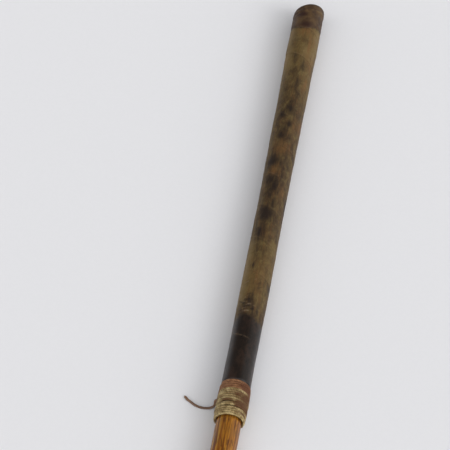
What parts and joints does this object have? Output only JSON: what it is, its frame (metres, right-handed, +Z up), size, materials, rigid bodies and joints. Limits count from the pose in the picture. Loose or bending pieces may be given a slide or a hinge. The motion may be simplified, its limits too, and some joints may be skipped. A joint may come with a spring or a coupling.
{
  "type": "boat hook",
  "caption": "Wooden boat hook with a leather-bound grip, a twine whipping and a cast bronze head with a ball-tipped spike and one curved hook.",
  "frame": {"origin": "on the pole's axis, in the middle of the straight bare shaft, which is the clip seat", "axes": "+X along the pole from the butt to the spike, +Z up as the boat hook lies at rest, hook on the +Y side"},
  "size_m": [1.5213, 0.1207, 0.0364],
  "materials": {
    "ash_wood": "old honey-brown varnish over straight-grained ash",
    "canvas": "plain canvas strip, hidden",
    "grip_leather": "worn dark leather, polished black at its lower end",
    "cap_leather": "moulded dark brown leather, dull",
    "red_twine": "tarred red-brown twine",
    "tan_twine": "dry natural hemp twine",
    "bronze": "cast bronze with brown patina, bright where it rubs",
    "brass": "dull yellow brass",
    "copper": "dull copper, hidden"
  },
  "bodies": {
    "root": {"pole": "ash_wood", "grip_underlay": "canvas", "grip_leather": "grip_leather", "leather_tacks": "copper", "butt_cap": "cap_leather", "cap_tack": "brass", "whipping_upper": "red_twine", "whipping_main": "tan_twine", "whipping_tail": "red_twine", "hook_head": "bronze", "head_screws": "brass"}
  },
  "joints": []
}
